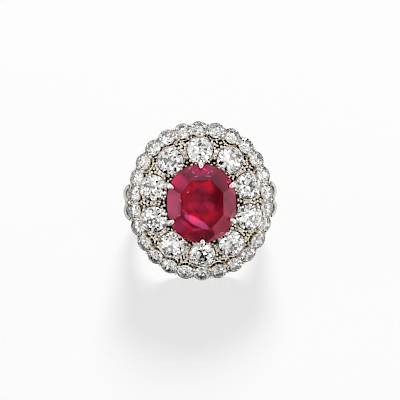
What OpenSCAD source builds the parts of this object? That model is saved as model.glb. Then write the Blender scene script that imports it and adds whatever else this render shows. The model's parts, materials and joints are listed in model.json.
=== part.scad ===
// A cluster ring lying on its side: an oval ruby in six claws, ten diamonds round it and a border of
// twenty-six smaller ones, on one soldered white-metal mounting. Every stone is a piece of its own.
//
// The ring is drawn in its own frame first: the finger runs along Y through the origin and the head
// looks up +Z. lay_down() then tips it onto its gallery rail and the back of its shank, as a ring
// with a wide head rests on a table, with the head facing -Y and upwards.

/* [Finger and shank] */
// Diameter of the finger hole
finger_d = 17.2; // [16.4:0.1:17.6]
// Width of the shank at the palm
palm_w = 2.6; // [2.2:0.1:3]
// Thickness of the shank at the palm
palm_t = 1.5; // [1.3:0.1:1.8]
// Width of the shank under the head
bridge_w = 6.4; // [5.6:0.1:7]
// Diameter of the window in the shank under the ruby
window_d = 2.6; // [2.2:0.1:2.8]

/* [Head] */
// Length of the head along the finger, over the border
head_l = 22.42; // [22.2:0.02:22.5]
// Width of the head across the finger, between the middles of the border stones
border_w = 19.2; // [19.1:0.02:19.3]
// Width of the round of ten, between the middles of its stones
round_w = 13.86; // [13.7:0.02:14]
// Length of the round of ten, between the middles of its stones
round_l = 14.6; // [14.5:0.02:14.8]
// Height of the ruby's girdle above the middle of the finger
girdle_z = 13.7; // [13.5:0.05:14]
// How far the round of ten sits below the ruby's girdle
round_drop = 1.45; // [1.35:0.05:1.6]
// How far the border sits below the round of ten
border_drop = 1.45; // [1.35:0.05:1.5]
// How far the stones in the round lean outwards
round_lean = 15; // [13:1:17]
// How far the border stones lean outwards at the ends of the head
border_lean_end = 34; // [32:1:36]
// How far they lean outwards at its sides
border_lean_side = 44; // [40:1:46]

/* [Ruby] */
// Width of the ruby
ruby_w = 9.6; // [9.4:0.05:9.8]
// Length of the ruby
ruby_l = 10.85; // [10.6:0.05:11]
// Height of the ruby's crown
ruby_crown = 1.5; // [1.2:0.05:1.8]
// Depth of the ruby's pavilion
ruby_pavilion = 3.9; // [3.6:0.05:4.1]
// Share of the ruby's width that its table takes
ruby_table = 0.66; // [0.58:0.01:0.7]

/* [Diamonds] */
// Diameter of each of the ten diamonds
round_d = 3.6; // [3.5:0.02:3.64]
// Diameter of each border diamond
border_d = 2.32; // [2.26:0.02:2.34]

/* [Hidden] */
round_n = 10;
border_n = 26;
claw_n = 6;
gap = 0.03;            // clearance between a stone and its metal
fine = 12;             // sides of a collet in the round
coarse = 8;            // sides of a border collet, as many as its stone has corners
grain_sides = 6;       // sides of a claw or grain

finger_r = finger_d / 2;
palm_r = finger_r + palm_t;
bridge_z = finger_r + 0.95;          // flat top of the shank under the head
shoulder_angle = 48;                 // where the flat top ends, from the head's axis
slim_angle = 100;                    // where the shoulders have run out into the shank

// Girdle, crown and pavilion of a diamond, as shares of its diameter
diamond_girdle = 0.03;
diamond_crown = 0.15;
diamond_pavilion = 0.42;
diamond_table = 0.57;
ruby_girdle = 0.25;
ruby_roundness = 2.25;               // 2 is an ellipse, more is a fuller cushion

border_rim = border_d / 2 + 0.19;    // outer radius of a border collet at its rim
border_h = 0.95;                     // depth of a border collet below the stone's girdle
round_rim = round_d / 2 + 0.15;
round_h = 2.15;
rim_z = -0.1;                        // height of a rim from the middle of the girdle
border_reach = border_rim * cos(180 / coarse) * cos(border_lean_end) + rim_z * sin(border_lean_end);
border_oval = [border_w / 2, head_l / 2 - border_reach];
round_oval = [round_w / 2, round_l / 2];
round_z = girdle_z - round_drop;
border_z = round_z - border_drop;

rail_r = 0.38;                       // the gallery rail's wire
rail_z = finger_r + 0.08 + rail_r;
rail_oval = [border_oval[0] + 0.1, border_oval[1] + 0.1];
base_oval = [ruby_w * 0.3, ruby_l * 0.3];                  // the rail on the shank, under the ruby
base_r = 0.42;
base_z = bridge_z + 0.3;
ruby_claw_r = 0.42;
ruby_claw_rise = 0.78;               // how high the ruby's claws bend over, above its girdle

// The shank's section, from its inner edge out: share of the thickness, share of the half width
section = [[-0.35, 1], [0.3, 1], [0.72, 0.88], [0.94, 0.55]];
rest_corner = section[2];            // the corner that the shank rests on

// Leaning angle and height at rest, from the rail's wire and that corner
rest_half_w = rest_corner[1] * palm_w / 2;
rest_radius = finger_r + rest_corner[0] * palm_t;
rest_rise = rail_oval[1] - rest_half_w;
rest_run = rail_z + rest_radius;
lean = atan2(rest_rise, rest_run) + asin(rail_r / norm([rest_rise, rest_run]));
lift = rest_half_w * cos(lean) + rest_radius * sin(lean);

// How far the head reaches forwards and the shank back, from the middle of the finger
front = (girdle_z + ruby_claw_rise) * cos(lean) + ruby_l / 2 * sin(lean) + ruby_claw_r;
back = (finger_r + section[3][0] * palm_t) * cos(lean) + section[3][1] * palm_w / 2 * sin(lean);

function two_digits(i) = str(i < 10 ? "0" : "", i);

// Places on an oval, by the angle from the top of the head, clockwise. even_turn() spaces them evenly.

function oval_point(oval, turn) = [oval[0] * sin(turn), oval[1] * cos(turn)];
function oval_facing(oval, turn) = atan2(cos(turn) / oval[1], sin(turn) / oval[0]);
function even_turn(oval, turn) = turn + 90 / PI * (oval[1] - oval[0]) / (oval[1] + oval[0]) * sin(2 * turn);
function round_turn(i) = even_turn(round_oval, (i - 1) * 360 / round_n);
function border_turn(i) = even_turn(border_oval, (i - 1) * 360 / border_n);
function border_lean(turn) = border_lean_end + (border_lean_side - border_lean_end) * pow(sin(turn), 2);

module lay_down() {
    translate([0, (front - back) / 2, lift]) rotate([90 - lean, 0, 0]) children();
}

// Puts a stone or its collet on an oval, leaning outwards, with its own +X pointing out
module seat_at(oval, turn, z, outwards) {
    place = oval_point(oval, turn);
    translate([place[0], place[1], z]) rotate([0, outwards, oval_facing(oval, turn)]) children();
}

module round_seat(i) {
    seat_at(round_oval, round_turn(i), round_z, round_lean) children();
}

module border_seat(i) {
    turn = border_turn(i);
    seat_at(border_oval, turn, border_z, border_lean(turn)) children();
}

// Skins and sweeps

// A closed skin over rings that all have the same number of points
module skin(rings, closed = false) {
    sides = len(rings[0]);
    count = len(rings);
    spans = closed ? count : count - 1;
    walls = [for (i = [0 : spans - 1]) for (j = [0 : sides - 1])
        let (a = i * sides, b = (i + 1) % count * sides, k = (j + 1) % sides)
        each [[a + j, a + k, b + k], [a + j, b + k, b + j]]];
    ends = closed ? [] : [
        [for (j = [sides - 1 : -1 : 0]) j],
        [for (j = [0 : sides - 1]) (count - 1) * sides + j]
    ];
    polyhedron([for (ring = rings) each ring], concat(walls, ends));
}

// A round wire bent into an oval, with one edge of its section along the line that it rests on
module oval_wire(oval, z, r, sides, steps) {
    skin([for (i = [0.5 : steps])
        let (turn = i * 360 / steps, p = oval_point(oval, turn), facing = oval_facing(oval, turn))
        [for (j = [0 : sides - 1]) let (a = -lean - j * 360 / sides, out = r * cos(a))
            [p[0] + out * cos(facing), p[1] + out * sin(facing), z + r * sin(a)]]
    ], closed = true);
}

// Cut stones

function outline(a, fullness) = [
    sign(cos(a)) * pow(abs(cos(a)), 2 / fullness),
    sign(sin(a)) * pow(abs(sin(a)), 2 / fullness)
];

// A full brilliant cut: table, 8 stars, 8 kites, upper halves, girdle, lower halves, 8 pavilion kites.
// halves is how many girdle edges each half facet meets, stars how far the stars reach to the girdle.
module brilliant(w, l, crown, pavilion, girdle, table, fullness = 2, halves = 1, stars = 0.5) {
    eighth = 45 / 2;
    star = table * cos(eighth) * (1 - stars) + stars;
    star_z = girdle / 2 + crown * (1 - star * cos(eighth)) / (1 - table);
    lower = 0.24;
    lower_z = -girdle / 2 - pavilion * (1 - lower * cos(eighth));
    around = 16 * halves;
    function ring(n, start, share, z) = [for (i = [0 : n - 1])
        let (p = share * outline(start + i * 360 / n, fullness)) [p[0] * w / 2, p[1] * l / 2, z]];
    points = concat(
        ring(8, 0, table, girdle / 2 + crown),
        ring(8, eighth, star, star_z),
        ring(around, 0, 1, girdle / 2),
        ring(around, 0, 1, -girdle / 2),
        ring(8, eighth, lower, lower_z),
        [[0, 0, -girdle / 2 - pavilion]]
    );
    top_edge = 16;
    low_edge = top_edge + around;
    lower_ring = low_edge + around;
    culet = lower_ring + 8;
    faces = concat(
        [[for (i = [7 : -1 : 0]) i]],
        [for (i = [0 : 7]) let (n = (i + 1) % 8) [i, n, 8 + i]],
        [for (i = [0 : 7]) let (b = (i + 7) % 8) [i, 8 + i, top_edge + 2 * halves * i, 8 + b]],
        [for (i = [0 : around - 1]) let (n = (i + 1) % around, s = floor(i / (2 * halves)))
            [8 + s, top_edge + n, top_edge + i]],
        [for (i = [0 : around - 1]) let (n = (i + 1) % around)
            [top_edge + i, top_edge + n, low_edge + n, low_edge + i]],
        [for (i = [0 : around - 1]) let (n = (i + 1) % around, s = floor(i / (2 * halves)))
            [low_edge + i, low_edge + n, lower_ring + s]],
        [for (i = [0 : 7]) let (b = (i + 7) % 8)
            [culet, lower_ring + b, low_edge + 2 * halves * i, lower_ring + i]]
    );
    polyhedron(points, faces);
}

// A single cut, as small stones have: table, 8 crown facets, girdle, 8 pavilion facets
module single_cut(d) {
    corners = 8;
    girdle = d * diamond_girdle / 2;
    function ring(r, z) = [for (i = [0 : corners - 1])
        let (a = (i + 0.5) * 360 / corners) [r * cos(a), r * sin(a), z]];
    points = concat(
        ring(d / 2 * diamond_table, girdle + d * diamond_crown),
        ring(d / 2, girdle),
        ring(d / 2, -girdle),
        [[0, 0, -girdle - d * diamond_pavilion]]
    );
    faces = concat(
        [[for (i = [corners - 1 : -1 : 0]) i]],
        [for (row = [0, corners]) for (i = [0 : corners - 1]) let (n = (i + 1) % corners)
            [row + i, row + n, row + corners + n, row + corners + i]],
        [for (i = [0 : corners - 1]) [2 * corners + i, 2 * corners + (i + 1) % corners, 3 * corners]]
    );
    polyhedron(points, faces);
}

module ruby_cut(grown = 0) {
    brilliant(ruby_w + 2 * grown, ruby_l + 2 * grown, ruby_crown + grown, ruby_pavilion + grown,
        ruby_girdle + grown, ruby_table, ruby_roundness, 2, 0.6);
}

module round_cut() {
    brilliant(round_d, round_d, round_d * diamond_crown, round_d * diamond_pavilion,
        round_d * diamond_girdle, diamond_table);
}

// Settings

// What a diamond and the hole below it take out of the metal. It clears a round stone all the way,
// and a border stone corner by corner.
module seat_cutter(d, depth, sides) {
    round_out = sides == coarse ? 1 : 1 / cos(180 / sides);
    r = d / 2 * round_out + gap;
    half_girdle = d * diamond_girdle / 2 + gap;
    hole = 0.55;
    rotate(180 / sides) rotate_extrude($fn = sides) polygon([
        [0, -depth - 0.3],
        [hole * r, -depth - 0.3],
        [r, -half_girdle],
        [r, half_girdle],
        [r * diamond_table, half_girdle + d * diamond_crown],
        [0, half_girdle + d * diamond_crown]
    ]);
}

module collet(rim, depth, sides) {
    translate([0, 0, -depth]) rotate(180 / sides)
        cylinder(h = depth + rim_z, r1 = rim * 0.84, r2 = rim, $fn = sides);
}

// A straight claw or grain with a domed tip
module claw(r, h) {
    rotate_extrude($fn = grain_sides) polygon([[0, 0], [r, 0], [r, h], [0, h + 0.7 * r]]);
}

module round_setting() {
    outer_corner = 60;
    inner_corner = 150;
    claw_r = 0.25;
    claw_h = 1.3;
    collet(round_rim, round_h, fine);
    for (a = [outer_corner, inner_corner, -inner_corner, -outer_corner])
        rotate(a) translate([round_d / 2 + 0.1, 0, 0.25 - claw_h]) claw(claw_r, claw_h);
}

// Two grains on a bar between each two stones of the round
module round_grains() {
    bar_w = 0.8;
    bar_in = 1.75;
    bar_out = 2.0;
    bar_h = 1.1;
    grain_r = 0.27;
    for (i = [1 : round_n])
        seat_at(round_oval, round_turn(i + 0.5), round_z, round_lean) {
            translate([-bar_in, -bar_w / 2, -0.5 - bar_h]) cube([bar_in + bar_out, bar_w, bar_h]);
            for (x = [-0.1, 0.62]) translate([x, 0, -0.95]) claw(grain_r, 0.62);
        }
}

// The claws between border stones: one outside, up from the rail, and one inside
module border_claws() {
    claw_r = 0.28;
    claw_x = 0.78;
    inner_h = 0.8;
    outer_h = 1.5;
    for (i = [1.5 : border_n + 0.5]) border_seat(i) {
        translate([-claw_x, 0, 0.12 - inner_h]) claw(claw_r, inner_h);
        translate([claw_x, 0, 0.12 - outer_h]) claw(claw_r, outer_h);
    }
}

// A claw of the ruby, in the plane of one turn: up from the base rail, past the girdle and over
module ruby_claw(turn) {
    girdle = norm(oval_point([ruby_w / 2, ruby_l / 2], turn));
    low = norm(oval_point(base_oval, turn));
    r = ruby_claw_r;
    // distance out, height over the girdle, thickness
    path = [
        [low, base_z - girdle_z, r], [girdle + 0.1, -0.7, r], [girdle + 0.3, 0.15, r],
        [girdle, ruby_claw_rise, r], [girdle - 0.6, ruby_claw_rise + 0.24, 0.5 * r]
    ];
    ends = len(path) - 1;
    skin([for (i = [0 : ends])
        let (
            before = path[max(i - 1, 0)],
            after = path[min(i + 1, ends)],
            slope = atan2(after[1] - before[1], after[0] - before[0])
        )
        [for (j = [0 : grain_sides - 1])
            let (
                a = -j * 360 / grain_sides,
                across = path[i][2] * cos(a),
                side = path[i][2] * sin(a),
                out = path[i][0] - across * sin(slope),
                up = path[i][1] + across * cos(slope)
            )
            [out * sin(turn) + side * cos(turn), out * cos(turn) - side * sin(turn), girdle_z + up]]
    ]);
}

module ruby_basket() {
    oval_wire(base_oval, base_z, base_r, 6, 16);
    for (i = [0 : claw_n - 1]) ruby_claw(i * 360 / claw_n);
}

// Shank

function shank_share(angle) = pow((1 + cos(angle)) / 2, 1.3);
function shank_half_w(angle) = palm_w / 2 + (bridge_w - palm_w) / 2 * shank_share(angle);
function shank_r(angle) = let (
        swell = bridge_z / cos(shoulder_angle) - palm_r,
        run = (angle - shoulder_angle) / (slim_angle - shoulder_angle)
    )
    angle <= shoulder_angle ? bridge_z / cos(angle)
    : angle < slim_angle ? palm_r + swell * pow(1 - run, 3)
    : palm_r;

module shank() {
    steps = 40;
    skin([for (i = [0 : steps - 1])
        let (
            turn = i * 360 / steps,
            angle = turn > 180 ? 360 - turn : turn,
            thick = shank_r(angle) - finger_r,
            half_w = shank_half_w(angle),
            near = [for (s = section) [finger_r + s[0] * (s[0] < 0 ? palm_t : thick), -s[1] * half_w]],
            far = [for (k = [len(near) - 1 : -1 : 0]) [near[k][0], -near[k][1]]],
            ring = concat(near, [[finger_r + thick, 0]], far)
        )
        [for (p = ring) [p[0] * sin(turn), p[1], p[0] * cos(turn)]]
    ], closed = true);
}

module finger_hole() {
    rotate([90, 0, 0]) cylinder(h = 3 * bridge_w, r = finger_r, center = true, $fn = 128);
}

module window() {
    translate([0, 0, finger_r / 2]) cylinder(h = finger_r, d = window_d, $fn = 24);
}

module raw_mounting() {
    shank();
    oval_wire(rail_oval, rail_z, rail_r, 6, 36);
    ruby_basket();
    round_grains();
    border_claws();
    for (i = [1 : round_n]) round_seat(i) round_setting();
    for (i = [1 : border_n]) border_seat(i) collet(border_rim, border_h, coarse);
}

// All the soldered metal is one solid. It is brought to the head's stated length, then bored.
module mounting() {
    color("gainsboro") lay_down() difference() {
        resize([0, head_l, 0]) difference() {
            raw_mounting();
            translate([0, 0, girdle_z]) ruby_cut(gap);
            for (i = [1 : round_n]) round_seat(i) seat_cutter(round_d, round_h, fine);
            for (i = [1 : border_n]) border_seat(i) seat_cutter(border_d, border_h, coarse);
        }
        finger_hole();
        window();
    }
}

module ruby() {
    color("crimson") lay_down() translate([0, 0, girdle_z]) ruby_cut();
}

module round_diamond(i) {
    color("white") lay_down() round_seat(i) round_cut();
}

module border_diamond(i) {
    color("whitesmoke") lay_down() border_seat(i) single_cut(border_d);
}

mounting();
ruby();
for (i = [1 : round_n])
    round_diamond(i);
for (i = [1 : border_n])
    border_diamond(i);
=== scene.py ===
import json
from math import atan2, cos, pi, radians, sin, sqrt, tau
from random import Random

import bmesh
import bpy
from mathutils import Matrix, Vector


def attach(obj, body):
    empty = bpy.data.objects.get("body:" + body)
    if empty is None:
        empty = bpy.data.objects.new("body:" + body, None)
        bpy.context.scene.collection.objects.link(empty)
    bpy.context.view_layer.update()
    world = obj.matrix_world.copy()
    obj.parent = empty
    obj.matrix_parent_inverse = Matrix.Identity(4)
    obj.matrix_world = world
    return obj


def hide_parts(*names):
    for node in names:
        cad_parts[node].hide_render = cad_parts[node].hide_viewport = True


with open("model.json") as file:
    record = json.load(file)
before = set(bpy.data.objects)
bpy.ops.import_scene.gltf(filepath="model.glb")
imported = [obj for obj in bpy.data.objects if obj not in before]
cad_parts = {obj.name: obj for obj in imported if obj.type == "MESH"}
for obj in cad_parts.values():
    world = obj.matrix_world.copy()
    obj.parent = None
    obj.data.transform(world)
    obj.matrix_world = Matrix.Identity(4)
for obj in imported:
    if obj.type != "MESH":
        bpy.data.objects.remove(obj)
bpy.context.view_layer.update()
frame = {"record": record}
print("frame loaded")

# Everything is drawn in millimetres in the ring's own frame, the finger along Y and the head looking
# up +Z, and is then laid down on its side where the frame has its finger hole.
fingerHole = frame["record"]["mounts"][0]
fingerAxis = Vector(fingerHole["axis"])
layDown = (
    Matrix.Translation(fingerHole["pos_m"])
    @ Matrix.Rotation(atan2(fingerAxis.z, fingerAxis.y), 4, "X")
    @ Matrix.Scale(0.001, 4)
)

head = {
    "rubyHeight": 13.7,         # girdle of the ruby, above the middle of the finger
    "roundHeight": 12.25,       # girdles of the ten
    "borderHeight": 10.8,       # girdles of the border stones
    "roundOval": (6.93, 7.3),   # half the width and half the length of the oval they stand on
    "borderOval": (9.42, 10.2319),
    "borderFullness": 0.022,    # how much further out the border runs between its four ends
    "roundLean": radians(15),
    "borderEndLean": radians(34),      # at the ends of the head
    "borderSideLean": radians(46),     # at its sides
    "roundCount": 10,
    "borderCount": 26,
    # the jewelled surface: share of the border's oval, and the height there
    "surface": [(0.48, 13.7), (0.705, 12.25), (1.0, 10.8), (1.25, 8.6)],
}


def ovalPoint(oval, turn, height=0.0):
    return Vector((oval[0] * sin(turn), oval[1] * cos(turn), height))


def ovalFacing(oval, turn):
    return atan2(cos(turn) / oval[1], sin(turn) / oval[0])


def evenTurn(oval, turn):  # evens out the steps along an oval
    return turn + (oval[1] - oval[0]) / (oval[1] + oval[0]) * sin(2 * turn) / 2


def seatAt(oval, turn, height, lean):  # the stone's own frame there, with +X pointing outwards
    place = Matrix.Translation(ovalPoint(oval, turn, height))
    return place @ Matrix.Rotation(ovalFacing(oval, turn), 4, "Z") @ Matrix.Rotation(lean, 4, "Y")


def roundSeat(step):
    oval = head["roundOval"]
    turn = evenTurn(oval, step * tau / head["roundCount"])
    return seatAt(oval, turn, head["roundHeight"], head["roundLean"])


def borderSeat(step):
    turn = evenTurn(head["borderOval"], step * tau / head["borderCount"])
    oval = [half * (1 + head["borderFullness"] * sin(2 * turn) ** 2) for half in head["borderOval"]]
    lean = head["borderEndLean"] + (head["borderSideLean"] - head["borderEndLean"]) * sin(turn) ** 2
    return seatAt(oval, turn, head["borderHeight"], lean)


def clearOfStones(roundReach, borderReach):  # makes a test for places that far from every stone's axis
    seats = [(roundSeat(i).inverted(), roundReach) for i in range(head["roundCount"])]
    seats += [(borderSeat(i).inverted(), borderReach) for i in range(head["borderCount"])]
    return lambda spot: all((toSeat @ spot).xy.length > reach for toSeat, reach in seats)


def headTop(x, y):  # height of the jewelled surface over a place on the head
    stops = head["surface"]
    out = sqrt((x / head["borderOval"][0]) ** 2 + (y / head["borderOval"][1]) ** 2)
    if out <= stops[0][0]:
        return stops[0][1]
    for (a, za), (b, zb) in zip(stops, stops[1:]):
        if out <= b:
            return za + (zb - za) * (out - a) / (b - a)
    return stops[-1][1]


# Shapes, all added to a bmesh

def joinLoops(bm, a, b):
    if len(a) == 1:
        a = a * len(b)
    if len(b) == 1:
        b = b * len(a)
    for i in range(len(a)):
        j = (i + 1) % len(a)
        corners = list(dict.fromkeys((a[i], a[j], b[j], b[i])))
        bm.faces.new(corners)


def addSkin(bm, rings, place=Matrix(), closed=False, capped=True):
    loops = [[bm.verts.new(place @ Vector(p)) for p in ring] for ring in rings]
    for a, b in zip(loops, loops[1:]):
        joinLoops(bm, a, b)
    if closed:
        joinLoops(bm, loops[-1], loops[0])
    elif capped:
        for loop in (loops[0], loops[-1]):
            if len(loop) > 2:
                bm.faces.new(loop)


def addLathe(bm, place, profile, steps, closed=True):  # profile is radius, height
    rings = []
    for r, z in profile:
        if r == 0:
            rings.append([(0, 0, z)])
        else:
            rings.append([(r * cos(i * tau / steps), r * sin(i * tau / steps), z) for i in range(steps)])
    addSkin(bm, rings, place, closed=closed, capped=False)


def addSweep(bm, path, radii, square, sides, closed=False):  # square is one direction across the path
    rings = []
    count = len(path)
    for i, p in enumerate(path):
        before = path[i - 1] if closed or i > 0 else p
        after = path[(i + 1) % count] if closed or i < count - 1 else p
        along = (after - before).normalized()
        up = square.cross(along).normalized()
        rings.append([
            p + radii[i] * (cos(j * tau / sides) * square + sin(j * tau / sides) * up) for j in range(sides)
        ])
    addSkin(bm, rings, closed=closed)


def addClaw(bm, place, radius, low, high, sides=12, dome=0.9):  # a round bar with a domed top
    steps = 5
    profile = [(0, low), (radius, low), (radius, high)]
    for i in range(1, steps):
        a = i * pi / 2 / steps
        profile.append((radius * cos(a), high + dome * radius * sin(a)))
    profile.append((0, high + dome * radius))
    addLathe(bm, place, profile, sides, closed=False)


def addBlock(bm, place, low, high):
    size = Vector(high) - Vector(low)
    middle = (Vector(high) + Vector(low)) / 2
    stretched = place @ Matrix.Translation(middle) @ Matrix.Diagonal((*size, 1))
    made = bmesh.ops.create_cube(bm, size=1)["verts"]
    bmesh.ops.transform(bm, matrix=stretched, verts=made)


def smoothPath(points, steps):  # a smooth curve through the points
    ends = [points[0] * 2 - points[1], *points, points[-1] * 2 - points[-2]]
    path = []
    for a, b, c, d in zip(ends, ends[1:], ends[2:], ends[3:]):
        for i in range(steps):
            t = i / steps
            path.append((2 * b + (c - a) * t + (2 * a - 5 * b + 4 * c - d) * t ** 2
                         + (3 * b - a - 3 * c + d) * t ** 3) / 2)
    return path + [points[-1]]


def makePiece(bm, name, material, nodes, sharpOver=None, grime=None, middle=None):
    # this pair says how deep under the jewelled surface the dirt and painted shade start and where they are
    # full, middle is the point that "inStone" is measured from
    bmesh.ops.recalc_face_normals(bm, faces=bm.faces)
    mesh = bpy.data.meshes.new(name)
    inStone = [c for v in bm.verts for c in v.co - middle] if middle else None
    if grime:
        start, full = grime
        depths = [headTop(v.co.x, v.co.y) - v.co.z for v in bm.verts]
        dirtAndShade = [min(1, max(0, (depth - start) / (full - start))) for depth in depths]
    bm.to_mesh(mesh)
    bm.free()
    if grime:
        mesh.attributes.new("grime", "FLOAT", "POINT").data.foreach_set("value", dirtAndShade)
    if inStone:
        mesh.attributes.new("inStone", "FLOAT_VECTOR", "POINT").data.foreach_set("vector", inStone)
    mesh.transform(layDown)
    mesh.materials.append(material)
    mesh.polygons.foreach_set("use_smooth", [sharpOver is not None] * len(mesh.polygons))
    if sharpOver:
        mesh.set_sharp_from_angle(angle=sharpOver)
    piece = bpy.data.objects.new(name, mesh)
    bpy.context.scene.collection.objects.link(piece)
    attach(piece, "root")
    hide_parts(*nodes)


# Materials

def addNode(tree, kind, settings=None, **sockets):
    # a socket goes by its name, with _ for a space, or by its number, as in0
    node = tree.nodes.new(kind)
    for name, value in (settings or {}).items():
        setattr(node, name, value)
    for name, value in sockets.items():
        socket = node.inputs[int(name[2:]) if name.startswith("in") else name.replace("_", " ")]
        if isinstance(value, bpy.types.NodeSocket):
            tree.links.new(value, socket)
        else:
            socket.default_value = value
    return node


def addMath(tree, operation, *values, clamp=False):
    sockets = {f"in{i}": value for i, value in enumerate(values)}
    return addNode(tree, "ShaderNodeMath", {"operation": operation, "use_clamp": clamp}, **sockets).outputs[0]


def addRange(tree, value, start, full, low=0.0, high=1.0, kind="LINEAR"):
    return addNode(tree, "ShaderNodeMapRange", {"interpolation_type": kind}, Value=value, From_Min=start,
                   From_Max=full, To_Min=low, To_Max=high).outputs["Result"]


def addNoise(tree, place, scale, detail, roughness):
    return addNode(tree, "ShaderNodeTexNoise", Vector=place, Scale=scale, Detail=detail,
                   Roughness=roughness).outputs["Fac"]


def mixColours(tree, amount, under, over):
    return addNode(tree, "ShaderNodeMix", {"data_type": "RGBA"}, in0=amount, in6=under, in7=over).outputs[2]


def mixLevels(tree, amount, under, over):
    return addNode(tree, "ShaderNodeMix", in0=amount, in2=under, in3=over).outputs[0]


def setSockets(shader, values):
    for name, value in values.items():
        shader.inputs[name].default_value = value


def makeGroup(name, inputs, outputs):
    group = bpy.data.node_groups.new(name, "ShaderNodeTree")
    for label, kind, value in inputs:
        socket = group.interface.new_socket(label, in_out="INPUT", socket_type=kind)
        socket.default_value = value
    for label, kind in outputs:
        group.interface.new_socket(label, in_out="OUTPUT", socket_type=kind)
    return group, group.nodes.new("NodeGroupInput").outputs, group.nodes.new("NodeGroupOutput").inputs


def startMaterial(name):
    material = bpy.data.materials.new(name)
    material.use_nodes = True
    tree = material.node_tree
    return material, tree, tree.nodes["Principled BSDF"]


smears = {"detail": 3.0, "roughness": 0.6, "start": 0.42, "full": 0.68}


def makeHandledPolish():  # polish, with the smears that handling leaves on it
    group, ins, outs = makeGroup(
        "handledPolish",
        [("Clean", "NodeSocketColor", (1, 1, 1, 1)), ("Smeared", "NodeSocketColor", (0.9, 0.9, 0.9, 1)),
         ("Scale", "NodeSocketFloat", 600.0), ("Clean Roughness", "NodeSocketFloat", 0.02),
         ("Smeared Roughness", "NodeSocketFloat", 0.08)],
        [("Color", "NodeSocketColor"), ("Roughness", "NodeSocketFloat")],
    )
    place = addNode(group, "ShaderNodeTexCoord").outputs["Object"]
    blotches = addNoise(group, place, ins["Scale"], smears["detail"], smears["roughness"])
    mask = addRange(group, blotches, smears["start"], smears["full"])
    rough = addRange(group, mask, 0.0, 1.0, ins["Clean Roughness"], ins["Smeared Roughness"])
    group.links.new(mixColours(group, mask, ins["Clean"], ins["Smeared"]), outs["Color"])
    group.links.new(rough, outs["Roughness"])
    return group


def makeSoftPatch():  # a mask that is 1 inside an oval patch, with a soft edge
    group, ins, outs = makeGroup(
        "softPatch",
        [("Place", "NodeSocketVector", (0, 0, 0)), ("Middle", "NodeSocketVector", (0, 0, 0)),
         ("Turn", "NodeSocketFloat", 0.0), ("Reach", "NodeSocketVector", (1, 1, 1)),
         ("Softness", "NodeSocketFloat", 0.5)],
        [("Mask", "NodeSocketFloat")],
    )
    fromMiddle = addNode(group, "ShaderNodeVectorMath", {"operation": "SUBTRACT"}, in0=ins["Place"],
                         in1=ins["Middle"]).outputs["Vector"]
    turned = addNode(group, "ShaderNodeVectorRotate", {"rotation_type": "Z_AXIS"}, Vector=fromMiddle,
                     Angle=ins["Turn"]).outputs["Vector"]
    shares = addNode(group, "ShaderNodeVectorMath", {"operation": "DIVIDE"}, in0=turned,
                     in1=ins["Reach"]).outputs["Vector"]
    out = addNode(group, "ShaderNodeVectorMath", {"operation": "LENGTH"}, in0=shares).outputs["Value"]
    inner = addMath(group, "SUBTRACT", 1.0, ins["Softness"])
    group.links.new(addRange(group, out, inner, 1.0, 1.0, 0.0, "SMOOTHSTEP"), outs["Mask"])
    return group


handledPolish = makeHandledPolish()
softPatch = makeSoftPatch()


def addPolish(tree, look):
    return addNode(tree, "ShaderNodeGroup", {"node_tree": handledPolish}, Clean=look["clean"],
                   Smeared=look["smeared"], Scale=look["scale"], Clean_Roughness=look["roughness"],
                   Smeared_Roughness=look["smearedRoughness"]).outputs


whiteGoldLook = {
    "clean": (0.92, 0.9, 0.855, 1),
    "smeared": (0.85, 0.8, 0.72, 1),
    "scale": 900.0,
    "roughness": 0.1,
    "smearedRoughness": 0.18,
    "worn": (0.34, 0.285, 0.215, 1),     # half way down, where polish never reaches: duller metal with painted shade
    # deepest down: dirt and painted shade
    "grimy": (0.06, 0.046, 0.034, 1),
    "dust": (0.02, 0.0155, 0.012, 1),    # a painted glow over all of the metal, which keeps the gaps from going black
}
matteGoldLook = {    # under the border, where it isn't polished
    "clean": (0.57, 0.57, 0.565, 1),
    "smeared": (0.5, 0.49, 0.475, 1),
    "scale": 900.0,
    "roughness": 0.45,
    "smearedRoughness": 0.53,
    "worn": (0.5, 0.47, 0.42, 1),
    "grimy": (0.2, 0.18, 0.15, 1),
    "dust": (0.0, 0.0, 0.0, 1),
}
goldWearAndShade = {         # the same for both
    "specks": {"scale": 2600.0, "detail": 4.0, "roughness": 0.65},
    "patchiness": 0.9,                   # how much the specks break up the edge of the dirt and painted shade
    "wornBetween": (0.05, 0.45),
    "grimyBetween": (0.4, 0.85),
    "dulling": 0.35,                     # roughness added where the dirt and painted shade are full
    "bump": 0.12,
    "bumpHeight": 0.00004,               # in metres
}


def makeWhiteGold(name, look):
    material, tree, shader = startMaterial(name)
    polish = addPolish(tree, look)
    # dirt and painted shade: the metal turns darker the deeper a place lies under the jewelled surface
    deep = addNode(tree, "ShaderNodeAttribute", {"attribute_name": "grime"}).outputs["Fac"]
    place = addNode(tree, "ShaderNodeTexCoord").outputs["Object"]
    specks = addNoise(tree, place, **goldWearAndShade["specks"])
    patchy = addMath(tree, "MULTIPLY_ADD", specks, goldWearAndShade["patchiness"], -goldWearAndShade["patchiness"] / 2)
    amount = addMath(tree, "ADD", deep, patchy, clamp=True)
    gated = addMath(tree, "MULTIPLY", amount, deep, clamp=True)
    wornShadedShare = addRange(tree, gated, *goldWearAndShade["wornBetween"])
    grimyShadedShare = addRange(tree, gated, *goldWearAndShade["grimyBetween"])
    worn = mixColours(tree, wornShadedShare, polish["Color"], look["worn"])
    colour = mixColours(tree, grimyShadedShare, worn, look["grimy"])
    rough = addMath(tree, "MULTIPLY_ADD", gated, goldWearAndShade["dulling"], polish["Roughness"])
    bump = addNode(tree, "ShaderNodeBump", Height=specks, Strength=goldWearAndShade["bump"],
                   Distance=goldWearAndShade["bumpHeight"])
    tree.links.new(colour, shader.inputs["Base Color"])
    tree.links.new(rough, shader.inputs["Roughness"])
    tree.links.new(bump.outputs["Normal"], shader.inputs["Normal"])
    setSockets(shader, {"Metallic": 1.0, "Emission Color": look["dust"], "Emission Strength": 1.0})
    return material


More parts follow.
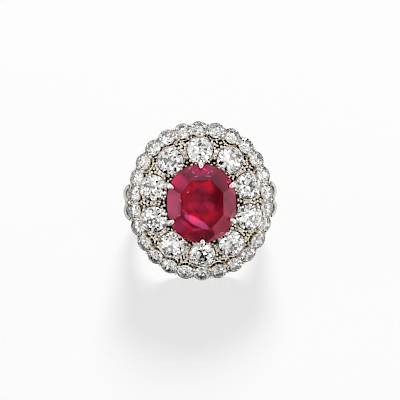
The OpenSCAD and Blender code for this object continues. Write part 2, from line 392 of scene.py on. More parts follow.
def makeStoneMaterial(name, look):
    material, tree, shader = startMaterial(name)
    polish = addPolish(tree, look)
    tree.links.new(polish["Color"], shader.inputs["Base Color"])
    tree.links.new(polish["Roughness"], shader.inputs["Roughness"])
    setSockets(shader, {"Transmission Weight": 1.0, "IOR": look["ior"]})
    return material


rubyLook = {
    "clean": (0.92, 0.055, 0.2, 1), "smeared": (0.78, 0.035, 0.14, 1), "scale": 420.0,
    "roughness": 0.17, "smearedRoughness": 0.23, "ior": 1.77,
    "silkTint": (0.48, 0.11, 0.32, 1),     # of the light that the stone's silk scatters
    "coatIor": 1.32,
    "body": (0.74, 0.03, 0.36, 1), "density": 330.0,     # what is left of light on its way through
    "glow": (0.023, 0.0055, 0.01, 1),      # a painted red glow, standing for the stone's fluorescence
    # painted light and shade in the body colour: place from the stone's middle, turn, reach in mm, softness,
    # share and its colour
    "zones": [
        ((2.5, 1.0, 1.6), 0.0, (1.9, 3.6, 9), 0.8, 0.95, (0.2, 0.02, 0.05, 1)),
        ((4.3, 0.0, 1.0), 0.0, (1.3, 2.4, 9), 0.5, 0.8, (0.3, 0.03, 0.14, 1)),
        ((-2.85, 0.7, 1.4), 0.1, (0.5, 1.5, 9), 0.6, 0.7, (0.45, 0.05, 0.2, 1)),
        ((0.1, -4.4, 1.0), 0.0, (2.5, 1.2, 9), 0.5, 0.95, (0.1, 0.01, 0.06, 1)),
        ((-3.4, -3.1, 1.0), 0.7, (1.8, 1.2, 9), 0.6, 0.6, (0.9, 0.2, 0.6, 1)),
        ((3.4, -3.1, 1.0), -0.7, (1.8, 1.3, 9), 0.6, 0.7, (0.4, 0.03, 0.12, 1)),
    ],
    # painted light where a facet of the pavilion would throw light back through the crown, and painted shade
    # where it throws none: the same, without share
    "streaks": [
        ((-0.8, -2.42, 1.6), radians(31), (2.1, 0.56, 9), 0.2, (0.2, 0.05, 0.15, 1)),
        ((-0.9, -2.2, 1.6), radians(31), (1.8, 0.26, 9), 0.5, (0.3, 0.06, 0.17, 1)),
        ((-2.3, -1.1, 1.6), radians(40), (0.9, 0.2, 9), 0.6, (0.14, 0.02, 0.09, 1)),
        ((-1.3, 0.6, 1.6), radians(-40), (1.9, 1.2, 9), 0.9, (0.1, 0.009, 0.017, 1)),
        ((-0.1, -0.5, 1.6), 0.0, (1.4, 1.1, 9), 0.9, (0.13, 0.01, 0.023, 1)),
        ((-4.25, 0.0, 0.8), 0.0, (1.3, 2.4, 9), 0.5, (0.12, 0.012, 0.05, 1)),
        ((-3.1, 3.2, 0.8), radians(40), (1.7, 1.2, 9), 0.5, (0.18, 0.014, 0.055, 1)),
        ((0.2, 4.4, 0.8), 0.0, (1.9, 0.8, 9), 0.6, (0.11, 0.008, 0.04, 1)),
        ((-3.4, -3.1, 0.8), radians(-40), (1.8, 1.2, 9), 0.6, (0.045, 0.016, 0.035, 1)),
        ((3.4, -3.1, 0.8), radians(40), (1.8, 1.3, 9), 0.6, (0.0, 0.0, 0.0, 1)),
        ((0.1, -4.3, 0.8), 0.0, (2.3, 1.0, 9), 0.5, (0.0, 0.0, 0.0, 1)),
        ((2.3, 0.9, 1.6), 0.0, (1.3, 2.6, 9), 0.7, (0.008, 0.001, 0.002, 1)),
    ],
    # painted glow in clouds, for light that finer silk would scatter: scale is per mm, start and full are
    # values of the noise
    "clouds": {"scale": 0.6, "detail": 3.0, "roughness": 0.55, "start": 0.47, "full": 0.62, "share": 0.9,
               "patch": ((-0.4, 0.4, 1.6), 0.0, (3.3, 3.7, 9), 0.4), "tint": (0.145, 0.011, 0.022, 1)},
    # painted glints along fine cracks: place, turn in degrees, length in mm, all of one width and colour
    "glints": [
        ((-1.55, 4.95, 0.6), -50, 0.4), ((-1.1, 4.4, 0.9), 60, 0.38), ((-0.7, 3.85, 1.1), -15, 0.45),
        ((0.5, 4.75, 0.7), 35, 0.42), ((1.05, 4.3, 0.9), -40, 0.4), ((1.5, 4.5, 0.8), 55, 0.3),
        ((0.95, 3.85, 1.1), 5, 0.5), ((3.7, 2.9, 0.6), 40, 0.3), ((3.95, 2.5, 0.5), -30, 0.22),
        ((2.7, -4.15, 0.6), -15, 0.5), ((-2.95, 0.6, 1.4), 70, 0.35), ((-1.9, 1.7, 1.5), -35, 0.3),
    ],
    "glint": {"width": 0.075, "height": 9, "softness": 0.7, "tint": (0.5, 0.16, 0.26, 1)},
}
diamondLook = {
    "clean": (1, 1, 1, 1), "smeared": (0.97, 0.975, 0.96, 1), "scale": 260.0,
    "roughness": 0.0, "smearedRoughness": 0.012, "ior": 2.42,
}


def makeRuby():  # body colour, painted light and shade zones, painted glow in clouds, streaks and glints, and clear polish
    material = makeStoneMaterial("ruby", rubyLook)
    tree = material.node_tree
    shader = tree.nodes["Principled BSDF"]
    body = addNode(tree, "ShaderNodeVolumeAbsorption", Color=rubyLook["body"], Density=rubyLook["density"])
    tree.links.new(body.outputs["Volume"], tree.nodes["Material Output"].inputs["Volume"])
    place = addNode(tree, "ShaderNodeAttribute", {"attribute_name": "inStone"}).outputs["Vector"]

    def patchMask(middle, turn, reach, softness):
        return addNode(tree, "ShaderNodeGroup", {"node_tree": softPatch}, Place=place, Middle=middle,
                       Turn=turn, Reach=reach, Softness=softness).outputs["Mask"]

    colour = shader.inputs["Base Color"].links[0].from_socket
    for *patch, share, tint in rubyLook["zones"]:
        colour = mixColours(tree, addMath(tree, "MULTIPLY", patchMask(*patch), share), colour, tint)
    tree.links.new(colour, shader.inputs["Base Color"])
    clouds = rubyLook["clouds"]
    drift = addNoise(tree, place, clouds["scale"], clouds["detail"], clouds["roughness"])
    cloudGlow = addRange(tree, drift, clouds["start"], clouds["full"], 0.0, clouds["share"])
    cloudGlow = addMath(tree, "MULTIPLY", cloudGlow, patchMask(*clouds["patch"]))
    glow = mixColours(tree, cloudGlow, rubyLook["glow"], clouds["tint"])
    for *patch, tint in rubyLook["streaks"]:
        glow = mixColours(tree, patchMask(*patch), glow, tint)
    glint = rubyLook["glint"]
    for middle, turn, length in rubyLook["glints"]:
        line = patchMask(middle, radians(turn), (length, glint["width"], glint["height"]), glint["softness"])
        glow = mixColours(tree, line, glow, glint["tint"])
    tree.links.new(glow, shader.inputs["Emission Color"])
    setSockets(shader, {
        "Emission Strength": 1.0, "Specular Tint": rubyLook["silkTint"],
        "Coat Weight": 1.0, "Coat Roughness": 0.0, "Coat IOR": rubyLook["coatIor"],
    })
    return material


whiteGold = makeWhiteGold("white_gold", whiteGoldLook)
matteGold = makeWhiteGold("matte_white_gold", matteGoldLook)
ruby = makeRuby()
diamond = makeStoneMaterial("diamond", diamondLook)
print("materials made")


# Stones, cut from a block by one plane for each facet

# sizes in mm, the rest in shares of them, wander is how far a facet leans out of true
rubyCut = {
    "width": 9.6, "length": 10.85, "crown": 1.5, "girdle": 0.25, "table": 0.66,
    "mains": 0.84,               # how far out the ridge between two of the large crown facets ends
    "kiteEdge": radians(10),     # half the edge of such a facet along the girdle
    "fullness": 2.25,            # 2 is a plain oval
    "girdleSides": 48, "wander": 0.004,
    # rows of the pavilion: facets, angle of the first, share of the width and depth at the top,
    # and the same at the foot
    "rows": [(16, 0.0, 1.0, 0.0, 0.85, 1.1), (8, 0.0, 0.87, 0.95, 0.5, 2.6),
             (8, pi / 8, 0.52, 2.5, 0.0, 3.7)],
}
roundCut = {
    "width": 3.6, "length": 3.6, "crown": 0.54, "pavilion": 1.512, "girdle": 0.1, "table": 0.55,
    "stars": 0.5, "lowerReach": 0.4, "culet": 0.07, "girdleSides": 32, "wander": 0.006,
}
borderCut = {
    "width": 2.32, "length": 2.32, "crown": 0.348, "pavilion": 0.974, "girdle": 0.07, "table": 0.57,
    "stars": 0.5, "lowerReach": 0.45, "culet": 0.06, "girdleSides": 24, "wander": 0.012,
}
stoneLuck = {        # how one diamond differs from the next
    "seed": 4315, "table": (-0.05, 0.03), "culet": (0.2, 2.0), "lowerReach": (-0.03, 0.08), "tilt": 0.015,
    "wanderBetween": (0.01, 0.999),      # how level a facet is: the girdle is 0 and the table 1
}
cutWeld = 1e-5      # in mm, how near to a plane a corner counts as on it


def outlinePoint(cut, a):
    fullness = cut.get("fullness", 2)
    x, y = (abs(f) ** (2 / fullness) * (1 if f > 0 else -1) for f in (cos(a), sin(a)))
    return x * cut["width"] / 2, y * cut["length"] / 2


def facetPlane(a, b, c):  # the plane through three points, facing away from the stone's middle
    normal = (b - a).cross(c - a).normalized()
    return a, -normal if normal.dot(a) < 0 else normal


def stonePlanes(cut):
    planes = []

    def addFacet(*corners):  # each corner is an angle, a share of the outline and a height
        points = []
        for a, share, z in corners:
            x, y = outlinePoint(cut, a)
            points.append(Vector((share * x, share * y, z)))
        planes.append(facetPlane(*points))

    eighth = pi / 8
    half = cut["girdle"] / 2
    table, crown = cut["table"], cut["crown"]
    top = half + crown
    rows = cut.get("rows", ())
    if "mains" in cut:      # the ridge between two mains, where the girdle facets start
        ridge = cut["mains"]
        ridgeZ = half + crown * (1 - ridge * cos(eighth)) / (1 - table * cos(eighth))
    else:                   # the outer corner of the stars
        ridge = table * cos(eighth) * (1 - cut["stars"]) + cut["stars"]
        ridgeZ = half + crown * (1 - ridge * cos(eighth)) / (1 - table)
    if not rows:            # a brilliant's pavilion
        foot = -half - cut["pavilion"]
        low = cut["lowerReach"]
        lowZ = -half - cut["pavilion"] * (1 - low * cos(eighth))
    planes.append((Vector((0, 0, top)), Vector((0, 0, 1))))
    for i in range(8):
        a = i * pi / 4
        if "mains" in cut:
            addFacet((a - eighth, table, top), (a + eighth, table, top), (a, 1, half))
        else:
            addFacet((a, table, top), (a + pi / 4, table, top), (a + eighth, ridge, ridgeZ))
            addFacet((a, table, top), (a - eighth, ridge, ridgeZ), (a + eighth, ridge, ridgeZ))
        if not rows:
            addFacet((a, 0, foot), (a - eighth, low, lowZ), (a + eighth, low, lowZ))
        for side in (-1, 1):
            a0 = a + side * cut.get("kiteEdge", 0.0)
            a1 = a + side * eighth
            addFacet((a1, ridge, ridgeZ), (a0, 1, half), (a1, 1, half))
            if not rows:
                addFacet((a1, low, lowZ), (a0, 1, -half), (a1, 1, -half))
    for count, first, wide, high, narrow, deep in rows:
        step = pi / count
        for i in range(count):
            a = first + i * tau / count
            rim = -half - high
            addFacet((a - step, wide, rim), (a + step, wide, rim), (a, narrow, -half - deep))
    sides = cut["girdleSides"]
    for i in range(sides):
        a = (i + 0.5) * tau / sides
        x0, y0 = outlinePoint(cut, a - 0.5 * tau / sides)
        x1, y1 = outlinePoint(cut, a + 0.5 * tau / sides)
        planes.append(((x0, y0, 0), Vector((y1 - y0, x0 - x1, 0)).normalized()))
    if not rows:
        planes.append((Vector((0, 0, -half - cut["pavilion"] * (1 - cut["culet"]))), Vector((0, 0, -1))))
    return planes


def cutStone(cut, place, dice):
    bm = bmesh.new()
    wander = cut["wander"]
    steep, flat = stoneLuck["wanderBetween"]
    bmesh.ops.create_cube(bm, size=2 * max(cut["width"], cut["length"]))
    for point, normal in stonePlanes(cut):
        if steep < abs(normal.z) < flat:
            normal = (normal + Vector([dice.uniform(-wander, wander) for _ in range(3)])).normalized()
        geometry = bm.verts[:] + bm.edges[:] + bm.faces[:]
        cutGeometry = bmesh.ops.bisect_plane(bm, geom=geometry, dist=cutWeld, plane_co=point, plane_no=normal,
                                             clear_outer=True)["geom_cut"]
        edges = [g for g in cutGeometry if isinstance(g, bmesh.types.BMEdge)]
        if len(edges) > 2:
            bmesh.ops.contextual_create(bm, geom=edges)
    bmesh.ops.transform(bm, matrix=place, verts=bm.verts)
    return bm


def makeStones():
    dice = Random(stoneLuck["seed"])
    middle = Vector((0, 0, head["rubyHeight"]))
    stone = cutStone(rubyCut, Matrix.Translation(middle), dice)
    makePiece(stone, "ruby_cut", ruby, ["ruby"], middle=middle)
    for cut, seat, count, kind in (
        (roundCut, roundSeat, head["roundCount"], "round_diamond"),
        (borderCut, borderSeat, head["borderCount"], "border_diamond"),
    ):
        for i in range(count):
            own = dict(cut)
            own["table"] += dice.uniform(*stoneLuck["table"])
            own["culet"] *= dice.uniform(*stoneLuck["culet"])
            own["lowerReach"] += dice.uniform(*stoneLuck["lowerReach"])
            turned = Matrix.Rotation(dice.uniform(0, tau), 4, "Z")
            turned = turned @ Matrix.Rotation(dice.gauss(0, stoneLuck["tilt"]), 4, "X")
            node = f"{kind}_{i + 1:02d}"
            makePiece(cutStone(own, seat(i) @ turned, dice), node + "_cut", diamond, [node])


makeStones()
print("stones cut")

# The mounting. Each part has the angle over which its edges are sharp, and the depths where its dirt
# and painted shade start and are full.

def makeMetal(bm, name, part, material=whiteGold):
    makePiece(bm, name, material, ["mounting"], part["sharp"], part["grime"])


# profiles are radius and height over the girdle
roundCollet = {
    "profile": [(1.62, -2.15), (1.9, -0.42), (1.88, -0.34), (1.98, -0.24), (1.98, -0.04), (1.95, 0.02),
                (1.91, 0.0), (1.89, -0.06), (1.87, -0.2), (1.1, -2.15)],
    "steps": 48, "sharp": radians(40), "grime": (0.35, 1.3),
}
roundShadeRing = {     # painted shade: a dark ring beside the girdle
    "profile": [(1.79, -0.16), (1.89, -0.16), (1.89, -0.09), (1.79, -0.09)],
    "steps": 48, "sharp": radians(40), "grime": (-0.6, -0.2),
}
borderCollet = {
    "profile": [(1.02, -0.95), (1.2, -0.3), (1.225, -0.2), (1.24, -0.1), (1.225, -0.03), (1.2, -0.02),
                (1.18, -0.06), (1.12, -0.16), (0.7, -0.95)],
    "steps": 32, "sharp": radians(40), "grime": (1.1, 3.2),
}


def makeCollets(name, part, seat, count):
    bm = bmesh.new()
    for i in range(count):
        addLathe(bm, seat(i), part["profile"], part["steps"])
    makeMetal(bm, name, part)


# the scallops that show beyond the border where the shoulders rise to the head
sideScallops = {
    "beside": (6, 7, 19, 20),    # these border stones
    "out": 0.46, "below": 0.5, "reach": radians(72), "steps": 24,
    "profile": [(0.85, -0.2), (1.24, -0.14), (1.33, -0.06), (1.35, 0.02), (1.31, 0.08), (1.2, 0.1),
                (0.85, 0.06)],
    "sharp": radians(35), "grime": (1.5, 6.0),
}


def makeScallops():
    bm = bmesh.new()
    steps = sideScallops["steps"]
    turns = [sideScallops["reach"] * (2 * j / steps - 1) for j in range(steps + 1)]
    rings = [[(r * cos(a), r * sin(a), z) for r, z in sideScallops["profile"]] for a in turns]
    for i in sideScallops["beside"]:
        seat = borderSeat(i)
        away = Vector((seat.translation.x, seat.translation.y, 0)).normalized() * sideScallops["out"]
        addSkin(bm, rings, Matrix.Translation(away + Vector((0, 0, -sideScallops["below"]))) @ seat)
    makeMetal(bm, "side_scallops", sideScallops, matteGold)


claws = {
    # distance out from the seat, radius, top and depth
    "borderInner": (-0.78, 0.25, 0.1, 0.8),
    "borderOuter": (0.66, 0.19, 0.0, 1.4),
    "round": (1.9, 0.22, 0.2, 1.3),
    "roundCorners": (radians(60), radians(150)),
    "uneven": (0.9, 1.1),        # of the radius
    "sharp": radians(50), "grime": (0.25, 0.9),
}


def makeClaws(dice):
    bm = bmesh.new()

    def addUneven(place, radius, top, depth):
        addClaw(bm, place, radius * dice.uniform(*claws["uneven"]), top - depth, top)

    for i in range(head["borderCount"]):
        for out, *size in (claws["borderInner"], claws["borderOuter"]):
            addUneven(borderSeat(i + 0.5) @ Matrix.Translation((out, 0, 0)), *size)
    out, *size = claws["round"]
    for i in range(head["roundCount"]):
        for corner in claws["roundCorners"]:
            for side in (-1, 1):
                spot = Matrix.Rotation(side * corner, 4, "Z") @ Matrix.Translation((out, 0, 0))
                addUneven(roundSeat(i) @ spot, *size)
    makeMetal(bm, "claws", claws)


bars = {             # two strips and their rungs between two stones of the round
    "strip": 0.13, "gap": 0.34, "inner": -0.95, "outer": 0.3, "top": -0.42, "depth": 0.9,
    "rungs": (-0.9, -0.28, 0.3), "rung": 0.12, "rungBelow": 0.06,
    # the beads there: distance out, to the side, radius
    "beads": [(-0.58, 0.0, 0.2), (0.02, 0.0, 0.25), (0.58, 0.27, 0.22), (0.58, -0.27, 0.22), (1.1, 0.5, 0.23),
              (1.1, 0.0, 0.2), (1.1, -0.5, 0.23), (1.5, 0.22, 0.17), (1.5, -0.22, 0.17)],
    "beadShift": (-0.05, 0.05), "beadSize": (0.85, 1.1), "beadRise": (-0.05, 0.08), "beadFoot": -1.2,
    "beadDome": 0.8,
    "sharp": radians(50), "grime": (0.3, 0.95),
}


def makeBars(dice):
    bm = bmesh.new()
    foot = bars["top"] - bars["depth"]
    inside, outside = bars["gap"] / 2, bars["gap"] / 2 + bars["strip"]
    for i in range(head["roundCount"]):
        seat = roundSeat(i + 0.5)
        for side in (-1, 1):
            near, far = sorted((side * inside, side * outside))
            addBlock(bm, seat, (bars["inner"], near, foot), (bars["outer"], far, bars["top"]))
        for x in bars["rungs"]:
            low = (x - bars["rung"] / 2, -outside, foot)
            addBlock(bm, seat, low, (x + bars["rung"] / 2, outside, bars["top"] - bars["rungBelow"]))
        for x, y, r in bars["beads"]:
            x += dice.uniform(*bars["beadShift"])
            y += dice.uniform(*bars["beadShift"])
            r *= dice.uniform(*bars["beadSize"])
            top = bars["top"] + dice.uniform(*bars["beadRise"])
            addClaw(bm, seat @ Matrix.Translation((x, y, 0)), r, bars["beadFoot"], top, dome=bars["beadDome"])
    makeMetal(bm, "grain_bars", bars)


plate = {
    "below": 1.05, "thickness": 0.4, "from": 0.5, "to": 0.99, "around": 440, "across": 34,
    "stoneHoles": (1.6, 0.95),   # radius under a stone of the round, and of the border
    # the pits are dents in place of holes through the plate, dark with its painted shade
    "pits": ((0.1, 0.52), (0.1, -0.52), (1.0, 0.75), (1.0, -0.75), (-0.8, 0.0)),
    "pitLevel": -0.7, "pitRadius": 0.24, "pitDepth": 0.5,
    # the plate lies so deep that its dirt and painted shade are full, which makes it dark nearly all over
    "sharp": radians(50), "grime": (0.3, 1.05),
}


def makePlate():  # the pierced plate that joins the collets
    bm = bmesh.new()
    around, across = plate["around"], plate["across"]
    isClear = clearOfStones(*plate["stoneHoles"])
    pits = [roundSeat(i + 0.5) @ Vector((x, y, plate["pitLevel"]))
            for i in range(head["roundCount"]) for x, y in plate["pits"]]

    def spot(i, j, deep):
        share = plate["from"] + (plate["to"] - plate["from"]) * j / across
        p = ovalPoint(head["borderOval"], i * tau / around) * share
        p.z = headTop(p.x, p.y) - plate["below"] - deep * plate["thickness"]
        return p

    top, under = ([[spot(i, j, deep) for j in range(across + 1)] for i in range(around)] for deep in (0, 1))
    for ring in top:
        for p in ring:
            for pit in pits:
                away = (p.xy - pit.xy).length
                if away < plate["pitRadius"]:
                    p.z -= plate["pitDepth"] * (1 - (away / plate["pitRadius"]) ** 2)
    kept = set()
    for i in range(around):
        for j in range(across):
            middle = (top[i][j] + top[(i + 1) % around][j + 1]) / 2
            middle.z -= plate["thickness"] / 2
            if isClear(middle):
                kept.add((i, j))
    verts = {}

    def corner(i, j, deep):
        key = (i % around, j, deep)
        if key not in verts:
            verts[key] = bm.verts.new((under if deep else top)[key[0]][j])
        return verts[key]

    for i, j in sorted(kept):
        bm.faces.new([corner(i, j, 0), corner(i + 1, j, 0), corner(i + 1, j + 1, 0), corner(i, j + 1, 0)])
        bm.faces.new([corner(i, j + 1, 1), corner(i + 1, j + 1, 1), corner(i + 1, j, 1), corner(i, j, 1)])
        for neighbour, a, b in (
            (((i - 1) % around, j), (i, j), (i, j + 1)),
            (((i + 1) % around, j), (i + 1, j + 1), (i + 1, j)),
            ((i, j - 1), (i + 1, j), (i, j)),
            ((i, j + 1), (i, j + 1), (i + 1, j + 1)),
        ):
            if neighbour not in kept:
                bm.faces.new([corner(*a, 0), corner(*b, 0), corner(*b, 1), corner(*a, 1)])
    makeMetal(bm, "pierced_plate", plate)


grains = {
    "seed": 23, "tries": 6000, "from": 0.53, "to": 0.95, "apart": 0.45, "radius": (0.16, 0.24),
    "below": (0.2, 0.6), "stem": 0.9, "sides": 8,
    "fromStones": (2.0, 1.27),   # from the axis of a stone of the round, and of the border
    "sharp": radians(50), "grime": (0.5, 1.15),
}


def makeGrains():  # small grains raised from the plate wherever there is no stone
    dice = Random(grains["seed"])
    bm = bmesh.new()
    isClear = clearOfStones(*grains["fromStones"])
    placed = []
    for _ in range(grains["tries"]):
        share = sqrt(dice.uniform(grains["from"] ** 2, grains["to"] ** 2))
        spot = ovalPoint(head["borderOval"], dice.uniform(0, tau)) * share
        spot.z = headTop(spot.x, spot.y) - dice.uniform(*grains["below"])
        if not isClear(spot) or any((spot - other).length < grains["apart"] for other in placed):
            continue
        placed.append(spot)
        radius = dice.uniform(*grains["radius"])
        addClaw(bm, Matrix.Translation(spot), radius, -grains["stem"], 0.0, sides=grains["sides"])
    print("grains:", len(placed))
    makeMetal(bm, "grains", grains)


baseRail = {"oval": (2.88, 3.255), "height": 9.85, "radius": 0.42, "steps": 64, "sides": 12}
galleryRail = {
    "oval": (9.7, 10.3319), "height": 9.06, "radius": 0.38, "steps": 160, "sides": 16,
    "sharp": radians(50), "grime": (0.5, 3.5),
}
rubyClaws = {
    "radius": 0.4, "count": 6, "sides": 16, "steps": 6,
    # from the base rail up: distance out from the girdle, height over it, share of the radius
    "path": [(0.1, -0.7, 1), (0.3, 0.15, 1), (0.02, 0.78, 0.95), (-0.36, 0.98, 0.68)],
    "tip": (0.6, 0.5),           # how far on it rounds off, and to what, in shares of the radius there
    "sharp": radians(50), "grime": (0.0, 2.5),
}


def addRail(bm, rail):
    path = [ovalPoint(rail["oval"], i * tau / rail["steps"], rail["height"]) for i in range(rail["steps"])]
    addSweep(bm, path, [rail["radius"]] * len(path), Vector((0, 0, 1)), rail["sides"], closed=True)


def makeBasket():
    bm = bmesh.new()
    up = Vector((0, 0, 1))
    z = head["rubyHeight"]
    tipLength, tipShare = rubyClaws["tip"]
    for i in range(rubyClaws["count"]):
        turn = i * tau / rubyClaws["count"]
        out = Vector((sin(turn), cos(turn), 0))
        girdle = ovalPoint((rubyCut["width"] / 2, rubyCut["length"] / 2), turn).length
        corners = [(ovalPoint(baseRail["oval"], turn).length, baseRail["height"] - z, 1)]
        corners += [(girdle + d, h, w) for d, h, w in rubyClaws["path"]]
        path = smoothPath([out * d + up * (z + h) for d, h, _ in corners], rubyClaws["steps"])
        widths = smoothPath([Vector((w, 0, 0)) for _, _, w in corners], rubyClaws["steps"])
        radii = [rubyClaws["radius"] * w.x for w in widths]
        path.append(path[-1] + (path[-1] - path[-2]).normalized() * radii[-1] * tipLength)
        radii.append(radii[-1] * tipShare)
        addSweep(bm, path, radii, out.cross(up).normalized(), rubyClaws["sides"])
    addRail(bm, baseRail)
    makeMetal(bm, "ruby_basket", rubyClaws)


def makeGalleryRail():
    bm = bmesh.new()
    addRail(bm, galleryRail)
    makeMetal(bm, "gallery_rail", galleryRail)


shank = {
    "holeRadius": fingerHole["dims"]["r_mm"],
    "palmWidth": 2.6,
    "palmThickness": 1.5,
    "bridgeWidth": fingerHole["dims"]["length_mm"],
    "bridgeRise": 0.95,         # thickness of the flat bridge under the head
    "taper": 1.3,               # how soon the width falls off from the bridge to the palm
    "windowRadius": 1.3,
    "windowSides": 48,
    "drillReach": 2,            # of the drill for the window, either side of the hole's radius
    "shoulderAngle": radians(48),
    "slimAngle": radians(100),
    "rounding": radians(4),     # either side of the shoulders' edge
    "section": [(0, 0.94), (0.08, 1), (0.3, 1), (0.72, 0.88), (0.94, 0.55), (1, 0)],
    "sectionSteps": 3,
    "steps": 240,
    "sharp": radians(35),
    "grime": None,
}


def shankSharp(angle):  # outer radius, before the edge of the shoulders is rounded
    bridge = shank["holeRadius"] + shank["bridgeRise"]
    palm = shank["holeRadius"] + shank["palmThickness"]
    if angle <= shank["shoulderAngle"]:
        return bridge / cos(angle)
    if angle < shank["slimAngle"]:
        run = (angle - shank["shoulderAngle"]) / (shank["slimAngle"] - shank["shoulderAngle"])
        return palm + (bridge / cos(shank["shoulderAngle"]) - palm) * (1 - run) ** 3
    return palm


def shankOuter(angle):  # with that edge rounded
    edge, soft = shank["shoulderAngle"], shank["rounding"]
    if abs(angle - edge) >= soft:
        return shankSharp(angle)
    t = (angle - edge + soft) / (2 * soft)
    before, corner, after = (shankSharp(edge + d) for d in (-soft, 0, soft))
    return (1 - t) ** 2 * before + 2 * t * (1 - t) * corner + t ** 2 * after


def cutAway(bm, drill):
    made = []
    for name, shape in (("blank", bm), ("drill", drill)):
        bmesh.ops.recalc_face_normals(shape, faces=shape.faces)
        mesh = bpy.data.meshes.new(name)
        shape.to_mesh(mesh)
        shape.free()
        made.append(bpy.data.objects.new(name, mesh))
        bpy.context.scene.collection.objects.link(made[-1])
    blank, tool = made
    boolean = blank.modifiers.new("window", "BOOLEAN")
    boolean.operation, boolean.object = "DIFFERENCE", tool
    result = bmesh.new()
    result.from_object(blank, bpy.context.evaluated_depsgraph_get())
    for thing in made:
        mesh = thing.data
        bpy.data.objects.remove(thing)
        bpy.data.meshes.remove(mesh)
    return result


def makeShank():
    bm = bmesh.new()
    rings = []
    section = smoothPath([Vector((*s, 0)) for s in shank["section"]], shank["sectionSteps"])
    for i in range(shank["steps"]):
        turn = i * tau / shank["steps"]
        angle = min(turn, tau - turn)
        thick = shankOuter(angle) - shank["holeRadius"]
        share = ((1 + cos(angle)) / 2) ** shank["taper"]
        halfWidth = (shank["palmWidth"] + (shank["bridgeWidth"] - shank["palmWidth"]) * share) / 2
        near = [(shank["holeRadius"] + s.x * thick, s.y * halfWidth) for s in section]
        outline = near + [(r, -y) for r, y in reversed(near[:-1])]
        rings.append([(r * sin(turn), y, r * cos(turn)) for r, y in outline])
    addSkin(bm, rings, closed=True)
    drill = bmesh.new()
    r, low, high = (shank["windowRadius"], shank["holeRadius"] - shank["drillReach"],
                    shank["holeRadius"] + shank["drillReach"])
    addLathe(drill, Matrix(), [(0, low), (r, low), (r, high), (0, high)], shank["windowSides"], closed=False)
    makeMetal(cutAway(bm, drill), "shank", shank)


makeCollets("round_collets", roundCollet, roundSeat, head["roundCount"])
makeCollets("round_grooves", roundShadeRing, roundSeat, head["roundCount"])
makeCollets("border_collets", borderCollet, borderSeat, head["borderCount"])
makeScallops()
settingDice = Random(77)    # the claws draw from it first, then the beads
makeClaws(settingDice)
makeBars(settingDice)
makePlate()
makeGrains()
makeBasket()
makeGalleryRail()
makeShank()
print("mounting made")

# Floor, light and camera

floorLook = {
    "colour": (0.9, 0.9, 0.9, 1),
    "glow": 0.722,               # the floor is a light table, so only the lamp throws a shadow on it
    "roughness": 0.9,
    "reach": 3,                  # in metres
}


def makeFloor():
    bm = bmesh.new()
    bmesh.ops.create_grid(bm, x_segments=1, y_segments=1, size=floorLook["reach"])
    mesh = bpy.data.meshes.new("floor")
    bm.to_mesh(mesh)
    bm.free()
    floor = bpy.data.objects.new("floor", mesh)
    bpy.context.scene.collection.objects.link(floor)
    material, _, shader = startMaterial("pale_floor")
    setSockets(shader, {
        "Base Color": floorLook["colour"], "Roughness": floorLook["roughness"], "Specular IOR Level": 0.0,
        "Emission Color": (1, 1, 1, 1), "Emission Strength": floorLook["glow"],
    })
    mesh.materials.append(material)
    floor.visible_glossy = False
    floor.visible_transmission = False


headFacing = (layDown.to_3x3() @ Vector((0, 0, 1))).normalized()
headUp = (layDown.to_3x3() @ Vector((0, 1, 0))).normalized()
sideways = Vector((1, 0, 0))

room = {
    "base": 0.94,
    "tint": (1.0, 0.99, 0.972, 1),
    "beyondFloor": 0.965,        # what the camera sees past its edge
    # direction over the head's face (right, up, out), degrees to full, degrees to nothing, strength
    "cards": [
        ((0.0, 0.0, 1.0), 50, 75, -0.17),
        ((-0.93, 0.15, 0.34), 14, 26, 0.8),
        ((-0.7, 0.65, 0.2), 12, 20, 0.35),
        ((0.98, 0.0, -0.2), 16, 25, 0.9),
        ((0.7, -0.7, -0.3), 14, 20, 0.7),
        ((0.1, 0.98, 0.1), 16, 24, 0.3),
        ((0.3, 0.4, 0.87), 9, 12, 1.5),
        ((-0.42, 0.3, 0.85), 7, 10, 0.8),
        ((-0.3, -0.45, 0.85), 9, 12, 1.2),
        ((0.5, -0.3, 0.8), 7, 10, 1.2),
        ((0.0, 0.62, 0.78), 5, 7, -0.9),      # black flags between the cards
        ((0.62, 0.1, 0.78), 5, 8, -0.9),
        ((-0.6, -0.05, 0.8), 8, 11, -0.9),
        ((0.1, -0.6, 0.8), 6, 8, -0.9),
        ((-0.75, 0.45, 0.5), 9, 12, -0.9),
        ((0.7, -0.55, 0.45), 7, 10, -0.9),
        ((0.62, 0.62, 0.45), 6, 9, -0.9),
        ((-0.55, -0.72, 0.42), 8, 12, -0.9),
        ((-0.3, -1.0, 0.15), 26, 40, -0.75),
        ((0.0, 0.0, 1.0), 13, 16, -5.0),      # the dark round of the camera
    ],
    "darkest": 0.06,
    "behind": 0.13,              # the light from behind the head
    "frontEnds": (105, 140),     # degrees from straight out where that light starts and is full
}


def addPatch(tree, direction, middle, full, nothing):
    dot = addNode(tree, "ShaderNodeVectorMath", {"operation": "DOT_PRODUCT"}, in0=direction, in1=middle)
    return addRange(tree, dot.outputs["Value"], cos(radians(nothing)), cos(radians(full)), kind="SMOOTHSTEP")


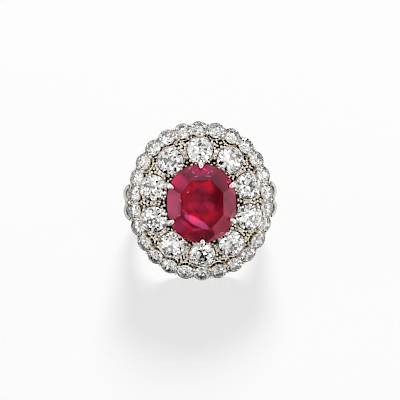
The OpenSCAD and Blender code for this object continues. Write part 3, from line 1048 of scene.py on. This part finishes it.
def makeWorld():
    world = bpy.data.worlds.new("studio")
    world.use_nodes = True
    bpy.context.scene.world = world
    tree = world.node_tree
    direction = addNode(tree, "ShaderNodeTexCoord").outputs["Generated"]
    light = room["base"]
    for (right, up, out), full, nothing, strength in room["cards"]:
        middle = (sideways * right + headUp * up + headFacing * out).normalized()
        patch = addPatch(tree, direction, middle, full, nothing)
        light = addMath(tree, "MULTIPLY_ADD", patch, strength, light)
    light = addMath(tree, "MAXIMUM", light, room["darkest"])
    inFront = addPatch(tree, direction, headFacing, *room["frontEnds"])
    light = mixLevels(tree, inFront, room["behind"], light)
    path = addNode(tree, "ShaderNodeLightPath").outputs
    light = mixLevels(tree, path["Diffuse Depth"], light, 0.0)    # none for the floor
    light = mixLevels(tree, path["Is Camera Ray"], light, room["beyondFloor"])
    background = tree.nodes["Background"]
    tree.links.new(light, background.inputs["Strength"])
    background.inputs["Color"].default_value = room["tint"]


keyLight = {"azimuth": radians(7), "elevation": radians(33.5), "distance": 2.5, "size": 0.75, "watts": 23.5}


def makeLights():  # one soft lamp from behind, which throws the shadow towards the camera
    key = bpy.data.lights.new("key", "AREA")
    key.shape, key.size, key.energy = "DISK", keyLight["size"], keyLight["watts"]
    lamp = bpy.data.objects.new("key", key)
    a, e = keyLight["azimuth"], keyLight["elevation"]
    away = Vector((sin(a) * cos(e), cos(a) * cos(e), sin(e)))
    lamp.location = away * keyLight["distance"]
    lamp.rotation_mode = "QUATERNION"
    lamp.rotation_quaternion = away.to_track_quat("Z", "Y")
    bpy.context.scene.collection.objects.link(lamp)


photoView = {
    "azimuth": radians(-2.5), "elevation": radians(32.25), "distance": 0.3102, "lens": 200.0,
    "aim": (-0.13, 0.29, 11.8),  # a place on the ring, in mm
    "nearest": 0.01,             # in metres, nothing nearer is drawn
    "sharpening": 0.06,          # a little, as product photos have
}


def makeCamera():
    camera = bpy.data.objects.new("camera", bpy.data.cameras.new("camera"))
    bpy.context.scene.collection.objects.link(camera)
    bpy.context.scene.camera = camera
    target = layDown @ Vector(photoView["aim"])
    a, e = photoView["azimuth"], photoView["elevation"]
    back = Vector((sin(a) * cos(e), -cos(a) * cos(e), sin(e)))
    camera.location = target + back * photoView["distance"]
    camera.rotation_mode = "QUATERNION"
    camera.rotation_quaternion = back.to_track_quat("Z", "Y")
    camera.data.lens = photoView["lens"]
    camera.data.clip_start = photoView["nearest"]


def makeSharpening():
    scene = bpy.context.scene
    scene.use_nodes = True
    tree = scene.node_tree
    tree.nodes.clear()
    layers = tree.nodes.new("CompositorNodeRLayers")
    crisper = tree.nodes.new("CompositorNodeFilter")
    crisper.filter_type = "SHARPEN"
    crisper.inputs["Fac"].default_value = photoView["sharpening"]
    result = tree.nodes.new("CompositorNodeComposite")
    tree.links.new(layers.outputs["Image"], crisper.inputs["Image"])
    tree.links.new(crisper.outputs["Image"], result.inputs["Image"])


makeFloor()
makeWorld()
makeLights()
makeCamera()
makeSharpening()
bpy.context.scene.view_settings.view_transform = "Standard"
print("stage set")
